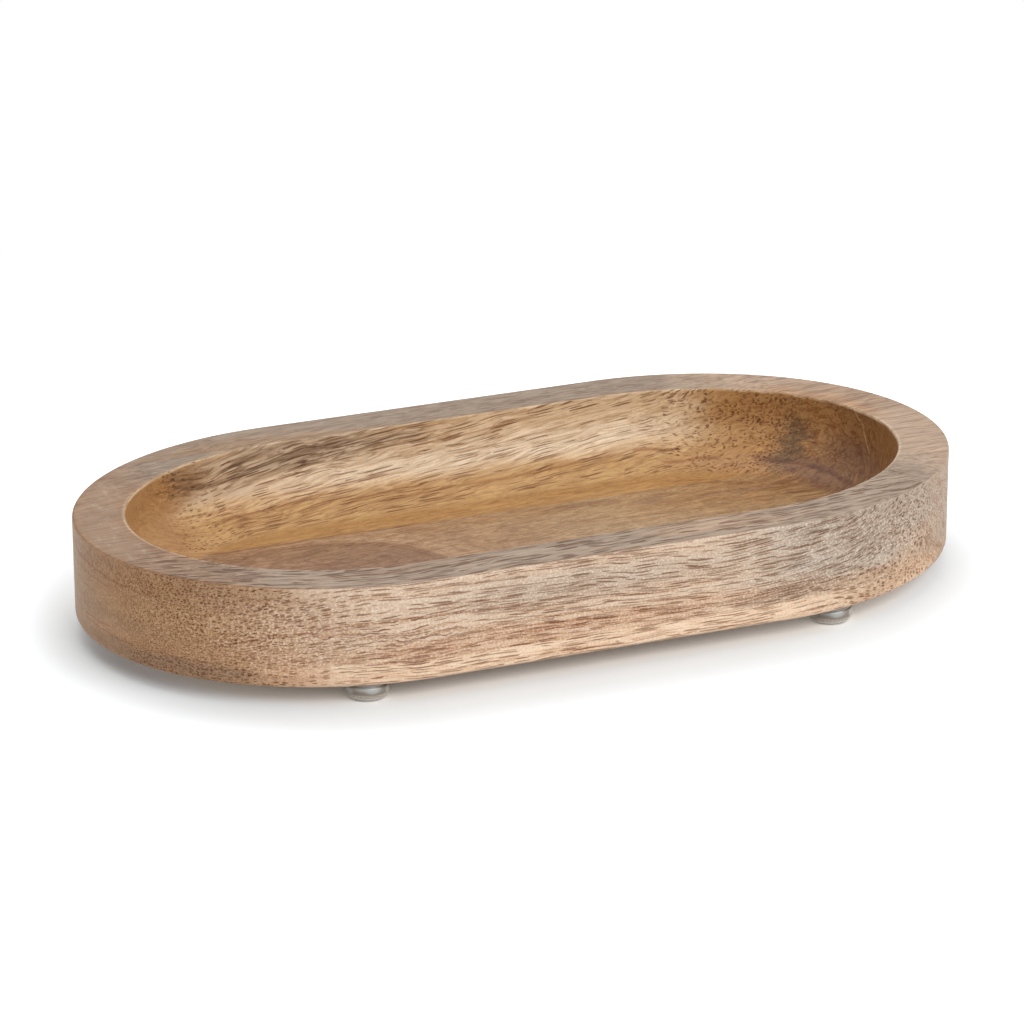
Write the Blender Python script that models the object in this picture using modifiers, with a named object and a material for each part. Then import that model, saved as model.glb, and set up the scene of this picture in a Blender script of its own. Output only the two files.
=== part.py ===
"""Oval wooden tray: a hollowed block of hardwood that stands on four clear stick-on bumper feet.

Metres, +Z up. The origin is the middle of the footprint, on the surface that the feet stand on.
+X runs along the tray and -Y is its front.
"""
import math

import bmesh
import bpy

# Wooden block
LENGTH = 0.250
WIDTH = 0.130
BLOCK_HEIGHT = 0.0276
END_DEPTH = 0.0745
BOTTOM_ROUND = 0.0015
RIM_EASE = 0.0006

# Hollow
SIDE_RIM = 0.0137
END_RIM = 0.0142
HOLLOW_END_DEPTH = 0.061
FLOOR_THICKNESS = 0.006
COVE_RADIUS = 0.016
CUT_OVERRUN = 0.004

# Bumper foot
FOOT_RADIUS = 0.0061
FOOT_HEIGHT = 0.0043
FOOT_LIP = 0.0004
FOOT_ROUND = 0.0025
FOOT_TURN = math.radians(14.2)

# Adhesive disc between a foot and the wood
DISC_RADIUS = 0.0056
DISC_THICKNESS = 0.0003
DISC_EDGE_MARGIN = 0.0001
SEAT_GAP = 0.0003

# Facets
END_STEPS = 36
COVE_STEPS = 8
BOTTOM_STEPS = 3
EASE_STEPS = 2
FOOT_ROUND_STEPS = 4
TURN_STEPS = 32

# Limits that tell one kind of edge from another, and how near two points must be to be one
FLAT_ANGLE = math.radians(0.01)
SMOOTH_ANGLE = math.radians(32)
RIM_EDGE_ANGLE = math.radians(60)
MERGE_DISTANCE = 0.00001

# Finishes
WOOD_COLOUR = (0.46, 0.31, 0.20)
WOOD_ROUGHNESS = 0.5
FOOT_COLOUR = (0.80, 0.80, 0.78)
FOOT_ROUGHNESS = 0.12
FOOT_CLEARNESS = 0.9
ADHESIVE_COLOUR = (0.62, 0.58, 0.50)
ADHESIVE_ROUGHNESS = 0.35
ADHESIVE_CLEARNESS = 0.5

# Heights above the surface that the feet stand on, and how far a foot's centre keeps inside the wall
DISC_BASE = FOOT_HEIGHT + SEAT_GAP
BLOCK_BASE = DISC_BASE + DISC_THICKNESS + SEAT_GAP
FLOOR_TOP = BLOCK_BASE + FLOOR_THICKNESS
RIM_TOP = BLOCK_BASE + BLOCK_HEIGHT
FOOT_INSET = BOTTOM_ROUND + DISC_RADIUS + DISC_EDGE_MARGIN


def clear_scene():
    for obj in list(bpy.data.objects):
        bpy.data.objects.remove(obj, do_unlink=True)


def new_collection(name):
    collection = bpy.data.collections.new(name)
    bpy.context.scene.collection.children.link(collection)
    return collection


def new_material(name, colour, roughness, clearness=0.0):
    material = bpy.data.materials.new(name)
    material.use_nodes = True
    shader = material.node_tree.nodes["Principled BSDF"]
    shader.inputs["Base Color"].default_value = (*colour, 1.0)
    shader.inputs["Roughness"].default_value = roughness
    shader.inputs["Metallic"].default_value = 0.0
    shader.inputs["Transmission Weight"].default_value = clearness
    return material


def oval_outline(length, width, end_depth):
    """Two straight sides closed by half ellipses, anticlockwise seen from above."""
    straight = length / 2 - end_depth
    points = []
    for side in (1, -1):
        for step in range(END_STEPS + 1):
            turn = math.pi * (step / END_STEPS - 0.5)
            points.append((side * (straight + end_depth * math.cos(turn)),
                           side * width / 2 * math.sin(turn)))
    return points


def oval_slab(name, outline, base, top, collection):
    """A flat slab with the given outline, from the height base to the height top."""
    curve = bpy.data.curves.new(name, "CURVE")
    curve.dimensions = "2D"
    curve.fill_mode = "BOTH"
    curve.extrude = (top - base) / 2
    spline = curve.splines.new("POLY")
    spline.points.add(len(outline) - 1)
    for point, (x, y) in zip(spline.points, outline):
        point.co = (x, y, 0, 1)
    spline.use_cyclic_u = True
    drawn = bpy.data.objects.new(name, curve)
    drawn.location.z = (base + top) / 2
    collection.objects.link(drawn)
    bpy.context.view_layer.update()
    evaluated = drawn.evaluated_get(bpy.context.evaluated_depsgraph_get())
    mesh = bpy.data.meshes.new_from_object(evaluated)
    slab = bpy.data.objects.new(name, mesh)
    slab.matrix_world = drawn.matrix_world
    bpy.data.objects.remove(drawn, do_unlink=True)
    bpy.data.curves.remove(curve)
    slab.name = name
    collection.objects.link(slab)
    weld_caps(mesh)
    return slab


def weld_caps(mesh):
    """Joins the loose caps of an extruded outline to its wall, and makes each cap one flat face."""
    shape = bmesh.new()
    shape.from_mesh(mesh)
    bmesh.ops.remove_doubles(shape, verts=shape.verts, dist=MERGE_DISTANCE)
    inner_edges = [edge for edge in shape.edges if edge.calc_face_angle() < FLAT_ANGLE]
    bmesh.ops.dissolve_edges(shape, edges=inner_edges, use_verts=False)
    bmesh.ops.recalc_face_normals(shape, faces=shape.faces)
    shape.to_mesh(mesh)
    shape.free()


def round_lower_edge(obj, radius, steps):
    """Rounds the edge round the underside of a slab."""
    weights = obj.data.attributes.new("bevel_weight_edge", "FLOAT", "EDGE")
    for edge in obj.data.edges:
        ends = [obj.data.vertices[index].co.z for index in edge.vertices]
        weights.data[edge.index].value = 1.0 if max(ends) < 0 else 0.0
    bevel = obj.modifiers.new("lower_edge", "BEVEL")
    bevel.limit_method = "WEIGHT"
    bevel.width = radius
    bevel.segments = steps
    bevel.use_clamp_overlap = False


def cut(obj, cutter):
    cutter.hide_render = True
    cutter.display_type = "WIRE"
    boolean = obj.modifiers.new(cutter.name, "BOOLEAN")
    boolean.operation = "DIFFERENCE"
    boolean.object = cutter
    boolean.solver = "EXACT"


def shade_round(obj):
    obj.data.shade_smooth()
    obj.data.set_sharp_from_angle(angle=SMOOTH_ANGLE)


def make_tray_body(parts, cutters, parent):
    """The block, with its underside's edge rounded, its hollow cut and both rim edges eased."""
    block = oval_slab("tray_body", oval_outline(LENGTH, WIDTH, END_DEPTH), BLOCK_BASE, RIM_TOP, parts)
    round_lower_edge(block, BOTTOM_ROUND, BOTTOM_STEPS)

    hollow_outline = oval_outline(LENGTH - 2 * END_RIM, WIDTH - 2 * SIDE_RIM, HOLLOW_END_DEPTH)
    hollow = oval_slab("hollow_cutter", hollow_outline, FLOOR_TOP, RIM_TOP + CUT_OVERRUN, cutters)
    round_lower_edge(hollow, COVE_RADIUS, COVE_STEPS)
    cut(block, hollow)

    ease = block.modifiers.new("rim_edges", "BEVEL")
    ease.limit_method = "ANGLE"
    ease.angle_limit = RIM_EDGE_ANGLE
    ease.width = RIM_EASE
    ease.segments = EASE_STEPS

    block.data.materials.append(new_material("tray_wood", WOOD_COLOUR, WOOD_ROUGHNESS))
    shade_round(block)
    block.parent = parent
    hollow.parent = parent


def foot_profile():
    """Half section of a squat bumper: flat top, near-upright side, round lower edge, flat underside."""
    points = [(0, FOOT_HEIGHT), (FOOT_RADIUS - FOOT_LIP, FOOT_HEIGHT), (FOOT_RADIUS, FOOT_HEIGHT - FOOT_LIP)]
    for step in range(FOOT_ROUND_STEPS + 1):
        turn = math.pi / 2 * step / FOOT_ROUND_STEPS
        points.append((FOOT_RADIUS - FOOT_ROUND * (1 - math.cos(turn)),
                       FOOT_ROUND * (1 - math.sin(turn))))
    points.append((0, 0))
    return points


def turned_object(name, profile, collection):
    """Turns a half section in the XZ plane once round the Z axis."""
    mesh = bpy.data.meshes.new(name)
    edges = [(index, index + 1) for index in range(len(profile) - 1)]
    mesh.from_pydata([(x, 0, z) for x, z in profile], edges, [])
    obj = bpy.data.objects.new(name, mesh)
    collection.objects.link(obj)
    screw = obj.modifiers.new("turned", "SCREW")
    screw.axis = "Z"
    screw.steps = TURN_STEPS
    screw.render_steps = TURN_STEPS
    screw.use_merge_vertices = True
    screw.merge_threshold = MERGE_DISTANCE
    screw.use_smooth_shade = True
    return obj


def foot_centre():
    """Where the back right foot stands: square in from a point on its end's half ellipse."""
    edge_x = LENGTH / 2 - END_DEPTH + END_DEPTH * math.sin(FOOT_TURN)
    edge_y = WIDTH / 2 * math.cos(FOOT_TURN)
    slope_x = math.sin(FOOT_TURN) / END_DEPTH
    slope_y = math.cos(FOOT_TURN) / (WIDTH / 2)
    slope = math.hypot(slope_x, slope_y)
    return edge_x - FOOT_INSET * slope_x / slope, edge_y - FOOT_INSET * slope_y / slope


def foot_places():
    """Names and centres of the four feet: -Y is the front and -X the left."""
    place_x, place_y = foot_centre()
    for row, y in (("front", -place_y), ("back", place_y)):
        for side, x in (("left", -place_x), ("right", place_x)):
            yield f"{row}_{side}", x, y


def make_feet(parts, parent):
    clear = new_material("clear_foot", FOOT_COLOUR, FOOT_ROUGHNESS, FOOT_CLEARNESS)
    for place, x, y in foot_places():
        foot = turned_object(f"foot_{place}", foot_profile(), parts)
        foot.data.materials.append(clear)
        foot.location = (x, y, 0)
        foot.parent = parent


def make_adhesive_discs(parts, parent):
    adhesive = new_material("adhesive", ADHESIVE_COLOUR, ADHESIVE_ROUGHNESS, ADHESIVE_CLEARNESS)
    profile = [(0, DISC_THICKNESS), (DISC_RADIUS, DISC_THICKNESS), (DISC_RADIUS, 0), (0, 0)]
    for place, x, y in foot_places():
        disc = turned_object(f"adhesive_{place}", profile, parts)
        disc.data.materials.append(adhesive)
        disc.location = (x, y, DISC_BASE)
        disc.parent = parent


def main():
    clear_scene()
    parts = new_collection("oval_wooden_tray")
    cutters = new_collection("cutters")
    origin = bpy.data.objects.new("tray_origin", None)
    parts.objects.link(origin)
    make_tray_body(parts, cutters, origin)
    make_feet(parts, origin)
    make_adhesive_discs(parts, origin)


main()
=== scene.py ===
# %% [markdown]
# # An oval wooden tray on clear feet
#
# The real thing is one block of a warm, open-pored hardwood. It is sawn to a long oval, its hollow
# is cut out with a round-nosed bit, its edges are sanded by hand, and four clear bumper feet are stuck
# underneath. This lesson builds it round a measured model: the sizes come from there, and only
# the finer shapes, the finishes, the light and the camera are made here.

import math

import bmesh
import bpy
import numpy as np
from mathutils import Matrix, Vector


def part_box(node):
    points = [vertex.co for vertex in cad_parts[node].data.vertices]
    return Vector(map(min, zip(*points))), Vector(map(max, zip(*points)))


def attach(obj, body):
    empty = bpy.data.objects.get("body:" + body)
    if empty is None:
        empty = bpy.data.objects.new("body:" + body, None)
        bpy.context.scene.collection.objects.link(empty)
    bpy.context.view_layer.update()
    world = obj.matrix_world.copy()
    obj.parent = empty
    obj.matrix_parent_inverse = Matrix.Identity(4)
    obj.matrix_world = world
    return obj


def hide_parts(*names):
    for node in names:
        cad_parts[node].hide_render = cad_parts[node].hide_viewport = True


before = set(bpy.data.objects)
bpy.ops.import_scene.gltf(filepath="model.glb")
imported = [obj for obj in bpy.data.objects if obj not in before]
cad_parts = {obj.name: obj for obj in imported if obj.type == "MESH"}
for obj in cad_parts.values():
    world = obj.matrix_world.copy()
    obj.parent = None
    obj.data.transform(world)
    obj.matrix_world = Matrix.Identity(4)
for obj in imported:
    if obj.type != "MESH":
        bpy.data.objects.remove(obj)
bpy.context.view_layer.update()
MM = 0.001

scene = bpy.context.scene
for name, node in sorted(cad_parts.items()):
    low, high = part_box(name)
    print(name, [round(size / MM, 2) for size in high - low], "mm")

# %% [markdown]
# ## The block, as a few rings
#
# A turned bowl could be spun from one profile, but this outline is an oval: two straight sides
# closed by half ellipses. So the block starts as one ring of points, and each next ring is that ring
# extruded and squeezed to its own half width, end depth and height. Four rings are enough, because a
# bevel rounds the corners between them afterwards, as the router and the sanding block do.

# %% Sizes of the block
body_low, body_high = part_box("tray_body")
HALF_LENGTH, HALF_WIDTH = body_high.x, body_high.y
BASE, RIM_TOP = body_low.z, body_high.z
END_DEPTH = 74.5 * MM
SIDE_RIM, END_RIM, HOLLOW_END_DEPTH = 13.7 * MM, 14.2 * MM, 61 * MM
FLOOR_TOP = BASE + 6 * MM
COVE_RADIUS, BOTTOM_ROUND, RIM_EASE = 16 * MM, 1.5 * MM, 0.6 * MM
RING_STEPS = 384
TINY = 1e-6
LIES_FLAT = 0.9999

print("block", round(2 * HALF_LENGTH / MM, 2), "by", round(2 * HALF_WIDTH / MM, 2), "mm")


# %% One oval ring, and the next one
class Oval:
    """The size of one ring: half its width, how deep its rounded ends are, where they begin, its height."""

    def __init__(self, half_width, end_depth, half_straight, height):
        self.half_width, self.end_depth = half_width, end_depth
        self.half_straight, self.height = half_straight, height


def split_sides(points):
    """The points of the right end, of the left end, and the two in the middle of the straight sides."""
    right = [p for p in points if p.co.x > TINY]
    left = [p for p in points if p.co.x < -TINY]
    middle = [p for p in points if abs(p.co.x) <= TINY]
    return right, left, middle


def first_ring(work, oval):
    points = bmesh.ops.create_circle(work, segments=RING_STEPS, radius=1.0)["verts"]
    bmesh.ops.scale(work, vec=(oval.end_depth, oval.half_width, 1), verts=points)
    right, left, middle = split_sides(points)
    for shift, group in ((oval.half_straight, right), (-oval.half_straight, left), (0, middle)):
        bmesh.ops.translate(work, vec=(shift, 0, oval.height), verts=group)
    return [edge for edge in work.edges if edge.is_wire]


def next_ring(work, edges, old, new):
    """Extrudes a ring of edges and squeezes the new ring to its own size, each end about its own centre."""
    made = bmesh.ops.extrude_edge_only(work, edges=edges)["geom"]
    points = [item for item in made if isinstance(item, bmesh.types.BMVert)]
    squeeze = (new.end_depth / old.end_depth, new.half_width / old.half_width, 1)
    right, left, middle = split_sides(points)
    for side, group in ((1, right), (-1, left), (0, middle)):
        centre = Matrix.Translation((-side * old.half_straight, 0, 0))
        bmesh.ops.scale(work, vec=squeeze, space=centre, verts=group)
        shift = (side * (new.half_straight - old.half_straight), 0, new.height - old.height)
        bmesh.ops.translate(work, vec=shift, verts=group)
    return [item for item in made if isinstance(item, bmesh.types.BMEdge)]


# %% Four rings, then the floor and the underside
outside_straight = HALF_LENGTH - END_DEPTH
inside_straight = HALF_LENGTH - END_RIM - HOLLOW_END_DEPTH
outside_low = Oval(HALF_WIDTH, END_DEPTH, outside_straight, BASE)
outside_top = Oval(HALF_WIDTH, END_DEPTH, outside_straight, RIM_TOP)
inside_top = Oval(HALF_WIDTH - SIDE_RIM, HOLLOW_END_DEPTH, inside_straight, RIM_TOP)
inside_low = Oval(HALF_WIDTH - SIDE_RIM, HOLLOW_END_DEPTH, inside_straight, FLOOR_TOP)

block = bmesh.new()
rings = [first_ring(block, outside_low)]
for old, new in ((outside_low, outside_top), (outside_top, inside_top), (inside_top, inside_low)):
    rings.append(next_ring(block, rings[-1], old, new))
for ring in (rings[0], rings[3]):
    bmesh.ops.edgeloop_fill(block, edges=ring)
bmesh.ops.recalc_face_normals(block, faces=block.faces)
volume = block.calc_volume() / MM ** 3 / 1000
print("block with sharp corners:", len(block.faces), "faces,", round(volume, 1), "ml")

# %% [markdown]
# ## Rounding the four corners
#
# The hollow's foot is a large cove, which a round-nosed bit leaves. The bottom edge is rounded a
# little, and the rim's two edges only lose their sharpness under sandpaper. Each is a bevel with a
# round profile. Cuts across the walls close to the bevels keep the shading of the walls flat.

# %% Round the corners
CUTS = (BASE + BOTTOM_ROUND + 0.3 * MM, BASE + 9 * MM, BASE + 17 * MM, RIM_TOP - 2.2 * MM,
        RIM_TOP - RIM_EASE - 0.2 * MM)

for ring, radius, steps in ((rings[3], COVE_RADIUS, 24), (rings[0], BOTTOM_ROUND, 7),
                            (rings[1], RIM_EASE, 4), (rings[2], RIM_EASE, 4)):
    bmesh.ops.bevel(block, geom=[edge for edge in ring if edge.is_valid], affect="EDGES", offset=radius,
                    offset_type="OFFSET", segments=steps, profile=0.5, material=-1, clamp_overlap=False)
for height in CUTS:
    everything = block.verts[:] + block.edges[:] + block.faces[:]
    bmesh.ops.bisect_plane(block, geom=everything, dist=TINY / 10, plane_co=(0, 0, height),
                           plane_no=(0, 0, 1))
for face in block.faces:
    face.smooth = abs(face.normal.z) < LIES_FLAT
print("rounded block:", len(block.faces), "faces")


# %% [markdown]
# ## A map that follows the outline
#
# The streaks and fine fibres fill the block like the real grain, so they read the object's own
# coordinates. On the walls the tones, drawn lines and pores follow the bend at each end instead. For
# those, each point also keeps how far round the outline it is, from the middle of the front, and how
# far in from the outline.

# %% Measure round and inwards
QUARTER_STEPS, HALVINGS = 400, 40
NEVER_ZERO = 1e-12


def arc_table(end_depth, half_width):
    """Turns from the straight side, and the length of the ellipse's arc at each."""
    turns = np.linspace(0, math.pi / 2, QUARTER_STEPS)
    pieces = np.hypot(np.diff(end_depth * np.sin(turns)), np.diff(half_width * np.cos(turns)))
    return turns, np.concatenate(([0], np.cumsum(pieces)))


def around_and_inward(places):
    """For points seen from above: the distance round the outline, and the distance in from it."""
    across = np.abs(places[:, 1])
    past = np.maximum(np.abs(places[:, 0]) - outside_straight, 0)
    shallow, deep = np.zeros(len(places)), np.full(len(places), HALF_WIDTH - 2 * MM)
    for _ in range(HALVINGS):
        guess = (shallow + deep) / 2
        outside = (past / (END_DEPTH - guess)) ** 2 + (across / (HALF_WIDTH - guess)) ** 2 > 1
        deep = np.where(outside, guess, deep)
        shallow = np.where(outside, shallow, guess)
    turns, arcs = arc_table(END_DEPTH, HALF_WIDTH)
    turn = np.arctan2(past / (END_DEPTH - guess), across / (HALF_WIDTH - guess))
    quarter = np.where(past > 0, outside_straight + np.interp(turn, turns, arcs), np.abs(places[:, 0]))
    half_way = 2 * (outside_straight + arcs[-1])
    round_back = np.where(places[:, 1] > 0, half_way - quarter, quarter)
    return round_back * np.sign(places[:, 0] + NEVER_ZERO), guess, half_way


# %% Finish a mesh
def finished_piece(name, work):
    mesh = bpy.data.meshes.new(name)
    work.to_mesh(mesh)
    work.free()
    piece = bpy.data.objects.new(name, mesh)
    scene.collection.objects.link(piece)
    return piece


# %% The block, and where each of its corners is on the outline
tray = finished_piece("carved_block", block)
mesh = tray.data
corner_point = np.empty(len(mesh.loops), int)
mesh.loops.foreach_get("vertex_index", corner_point)
places = np.empty(len(mesh.vertices) * 3)
mesh.vertices.foreach_get("co", places)
places = places.reshape(-1, 3)
around, inward, half_way = around_and_inward(places[:, :2])
face_of_corner = np.repeat(np.arange(len(mesh.polygons)), [p.loop_total for p in mesh.polygons])
face_middle = np.empty(len(mesh.polygons) * 3)
mesh.polygons.foreach_get("center", face_middle)
face_side = np.sign(face_middle.reshape(-1, 3)[:, 0])[face_of_corner]
corner_around = around[corner_point]
at_back_middle = np.abs(np.abs(corner_around) - half_way) < 0.1 * MM
corner_around = np.where(at_back_middle, half_way * face_side, corner_around)
outline_map = mesh.uv_layers.new(name="outline")
outline_map.data.foreach_set("uv", np.stack((corner_around, inward[corner_point]), 1).ravel())
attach(tray, "root")
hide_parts("tray_body")
print("outline is", round(2 * half_way / MM, 1), "mm round;", len(mesh.polygons), "faces")

# %% [markdown]
# ## Shader tools
#
# A wood like this needs many small sums in its material. Drawn as single calls they would hide the
# idea, so a short class stands for one value on the surface: adding or multiplying two of them adds
# the Math node that does it. Another class adds nodes to a material or to a node group. Its smooth
# rise is level beyond both ends without a clamp. The renderer makes each clamp a node that it works
# out late, and hundreds of waiting values are more than one material has room for.

# %% Values that can be added and multiplied
class Value:
    """One output of a node. Sums and products of values add Math nodes."""

    def __init__(self, bench, socket):
        self.bench, self.socket = bench, socket

    def __add__(self, other):
        return self.bench.math("ADD", self, other)

    def __sub__(self, other):
        return self.bench.math("SUBTRACT", self, other)

    def __rsub__(self, other):
        return self.bench.math("SUBTRACT", other, self)

    def __mul__(self, other):
        return self.bench.math("MULTIPLY", self, other)

    def __truediv__(self, other):
        return self.bench.math("DIVIDE", self, other)

    __radd__, __rmul__ = __add__, __mul__

    def sway(self, size):
        """A noise round a middle of 0.5, as a shift of up to half the size either way."""
        return (self - 0.5) * size


# %% A bench that makes them
class Bench:
    """Adds nodes to one tree. An input takes a number, a tuple, a tone's name or another node's value."""

    def __init__(self, tree):
        self.tree = tree

    def fill(self, made, inputs):
        for name, value in inputs.items():
            if isinstance(value, Value):
                self.tree.links.new(value.socket, made.inputs[name])
            else:
                made.inputs[name].default_value = TONES[value] if isinstance(value, str) else value

    def node(self, kind, inputs=None, out=0, **settings):
        made = self.tree.nodes.new(kind)
        for name, setting in settings.items():
            setattr(made, name, setting)
        self.fill(made, inputs or {})
        return Value(self, made.outputs[out])

    def group(self, tree, inputs):
        """Places a node group with its own values, and gives its outputs."""
        made = self.tree.nodes.new("ShaderNodeGroup")
        made.node_tree = tree
        self.fill(made, inputs)
        return [Value(self, socket) for socket in made.outputs]

    def math(self, operation, *values):
        return self.node("ShaderNodeMath", dict(enumerate(values)), operation=operation)

    def size_of(self, value):
        return self.math("ABSOLUTE", value)

    def highest(self, first, *others):
        for other in others:
            first = self.math("MAXIMUM", first, other)
        return first

    def vector(self, x=0.0, y=0.0, z=0.0):
        return self.node("ShaderNodeCombineXYZ", {0: x, 1: y, 2: z})

    def split(self, vector):
        parts = self.node("ShaderNodeSeparateXYZ", {0: vector}).socket.node
        return [Value(self, socket) for socket in parts.outputs]

    def vector_math(self, operation, *values, out=0):
        return self.node("ShaderNodeVectorMath", dict(enumerate(values)), out, operation=operation)

    def in_millimetres(self, place):
        return self.vector_math("MULTIPLY", place, (1 / MM,) * 3)

    def rise(self, value, start, end, low=0.0, high=1.0):
        """Goes smoothly from low to high as the value goes from start to end."""
        return self.node("ShaderNodeMapRange", {0: value, 1: start, 2: end, 3: low, 4: high},
                         interpolation_type="SMOOTHSTEP", clamp=False)

    def rise_straight(self, value, start, end, low=0.0, high=1.0):
        return self.node("ShaderNodeMapRange", {0: value, 1: start, 2: end, 3: low, 4: high}, clamp=False)

    def curve(self, value, span, heights):
        """A drawn curve through evenly spaced heights, over the span of the value."""
        low, high = min(heights), max(heights)
        bend = self.node("ShaderNodeFloatCurve", {0: 1.0, 1: self.rise_straight(value, *span)})
        drawn = bend.socket.node.mapping
        drawn.extend = "HORIZONTAL"
        points = drawn.curves[0].points
        for step, height in enumerate(heights):
            at = (step / (len(heights) - 1), (height - low) / (high - low))
            if step in (0, len(heights) - 1):
                points[0 if step == 0 else -1].location = at
            else:
                points.new(*at)
        drawn.update()
        return bend * (high - low) + low

    def noise(self, place, lump, detail=2.0, roughness=0.5, shift=(0.0, 0.0, 0.0), out=0):
        """Smooth noise whose lumps measure about as much as lump says, in millimetres along each axis."""
        sized = self.vector_math("MULTIPLY_ADD", place, tuple(1 / size for size in lump), shift)
        return self.node("ShaderNodeTexNoise", {"Vector": sized, "Scale": 1.0, "Detail": detail,
                                                "Roughness": roughness}, out)

    def wander(self, place, lump, detail=2.0, shift=(0.0, 0.0, 0.0)):
        """Three noises at once, each round a middle of 0.5."""
        return self.split(self.noise(place, lump, detail, shift=shift, out=1))

    def mix(self, share, colour, other, way="MIX"):
        return self.node("ShaderNodeMix", {0: share, 6: colour, 7: other}, 2, data_type="RGBA",
                         blend_type=way)

    def darken(self, share, colour, shade):
        return self.mix(share, colour, shade, "MULTIPLY")


# %% Paint, and node groups
def paint(red, green, blue):
    """A colour as a paint chart gives it, 0 to 255, in the linear numbers that a material takes."""
    shares = [part / 255 for part in (red, green, blue)]
    linear = [share / 12.92 if share <= 0.04045 else ((share + 0.055) / 1.055) ** 2.4 for share in shares]
    return (*linear, 1.0)


def new_group(name, inputs, outputs):
    """A node group with named sockets: gives the bench to build its inside on, and its inputs."""
    tree = bpy.data.node_groups.new(name, "ShaderNodeTree")
    for socket, value in inputs.items():
        kind = "NodeSocketVector" if isinstance(value, tuple) else "NodeSocketFloat"
        made = tree.interface.new_socket(name=socket, in_out="INPUT", socket_type=kind)
        made.default_value = value
    for socket in outputs:
        tree.interface.new_socket(name=socket, in_out="OUTPUT", socket_type="NodeSocketFloat")
    bench = Bench(tree)
    entry = tree.nodes.new("NodeGroupInput")
    return bench, [Value(bench, socket) for socket in entry.outputs[:len(inputs)]]


def close_group(bench, *values):
    """Joins the values to the group's outputs, and gives the finished group."""
    leave = bench.tree.nodes.new("NodeGroupOutput")
    for value, socket in zip(values, leave.inputs):
        bench.tree.links.new(value.socket, socket)
    print(bench.tree.name, "group with", len(bench.tree.nodes), "nodes")
    return bench.tree


# %% [markdown]
# ## Three effects, used again and again
#
# A soft patch is a stain with no sharp edge: an ellipse round a middle point, faded outwards.
#
# Pores are the wood's cut vessels, dashes where a face runs along the grain and dots where it cuts
# across. Each sits in one cell of a Voronoi pattern. The cell's own colour decides whether its pore
# is there, how wide and how dark it is, and coordinates squeezed along the grain make the dot a dash.
# So no two are alike, and none has to be placed.
#
# Streaks are bundles of darker fibre. Noise stretched along the grain gives them, at five widths.

# %% Soft patch
bench, (spot, middle, reach, softness) = new_group(
    "soft_patch", {"Place": (0, 0, 0), "Middle": (0, 0, 0), "Reach": (1, 1, 1), "Softness": 0.5}, ["Mask"])
offset = bench.vector_math("DIVIDE", bench.vector_math("SUBTRACT", spot, middle), reach)
distance = bench.vector_math("LENGTH", offset, out=1)
soft_patch = close_group(bench, bench.rise((distance - 1) / softness, 1, -1))

# %% Pores
bench, (along, across, width, missing) = new_group(
    "pores", {"Along": 0.0, "Across": 0.0, "Width": 0.5, "Missing": 0.3}, ["Pore", "Halo"])
PORE_ROW = 0.55
SLIMMEST, PALEST = 0.5, 0.55
HALO_GROWTH, HALO_EDGE = 1.7, 0.25

spot = bench.vector(along, across / PORE_ROW)
cells = bench.node("ShaderNodeTexVoronoi", {"Vector": spot, "Scale": 1.0}, voronoi_dimensions="2D")
away = cells * PORE_ROW
luck = bench.split(Value(bench, cells.socket.node.outputs["Color"]))
radius = bench.rise_straight(luck[1], 0.0, 1.0, SLIMMEST, 1.0) * (width / 2)
present = bench.rise(luck[0], missing, missing + 0.03)
dark = bench.rise_straight(luck[2], 0.0, 1.0, PALEST, 1.0)
pore = (1 - bench.rise(away, radius * 0.8, radius * 1.2)) * present * dark
halo = (1 - bench.rise(away, radius, radius * HALO_GROWTH + HALO_EDGE)) * present
pores = close_group(bench, pore, halo)

# %% Streaks
bench, (spot,) = new_group(
    "grain_streaks", {"Place": (0, 0, 0)}, ["Band", "Streak", "Crease", "Fine", "Reed"])
band = bench.noise(spot, (70, 8, 4))
streak = bench.noise(spot, (44, 2.6, 1.1), 3, 0.6, shift=(3, 5, 2))
crease = bench.noise(spot, (46, 3.6, 2.1), 2, 0.6, shift=(4, 9, 5))
thin = 1 - bench.rise(bench.size_of(crease - 0.5), 0.01, 0.05)
fine = bench.noise(spot, (15, 1.0, 0.6), 2, 0.6, shift=(1, 7, 3))
reed = bench.noise(spot, (22, 1.7, 1.15), 2, 0.6, shift=(6, 2, 8))
reeds = 1 - bench.rise(bench.size_of(reed - 0.5), 0.005, 0.05)
grain_streaks = close_group(bench, bench.rise(band, 0.35, 0.68), bench.rise(streak, 0.48, 0.62),
                            thin, fine, reeds)

# %% [markdown]
# ## The run of the grain
#
# Wood fibres never run quite straight. Along the front they rise from the left, sink past the
# middle and rise again to the right; along the hollow's back wall they rise steadily. Drawn
# curves bend the coordinates so that pores and streaks follow these lines, and noise roughens them.
# From here on, places are in millimetres: x, y and z in the block, with its underside at a height of
# 4.4, and on the outline's map how far round from the middle of the front, and how far in.

# %% Places in millimetres
wood = bpy.data.materials.new("open_pored_wood")
wood.use_nodes = True
bench = Bench(wood.node_tree)
rise, mix, darken, highest, noise = bench.rise, bench.mix, bench.darken, bench.highest, bench.noise
vector, split, curve, size_of, wander = bench.vector, bench.split, bench.curve, bench.size_of, bench.wander
UNDERSIDE = 4.4
place = bench.vector_math("MULTIPLY_ADD", bench.node("ShaderNodeTexCoord", out=3), (1 / MM,) * 3,
                          (0, 0, UNDERSIDE - BASE / MM))
x, y, z = split(place)
around, inward, _ = split(bench.in_millimetres(bench.node("ShaderNodeUVMap", uv_map="outline")))
print("the underside counts as height", UNDERSIDE)

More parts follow.
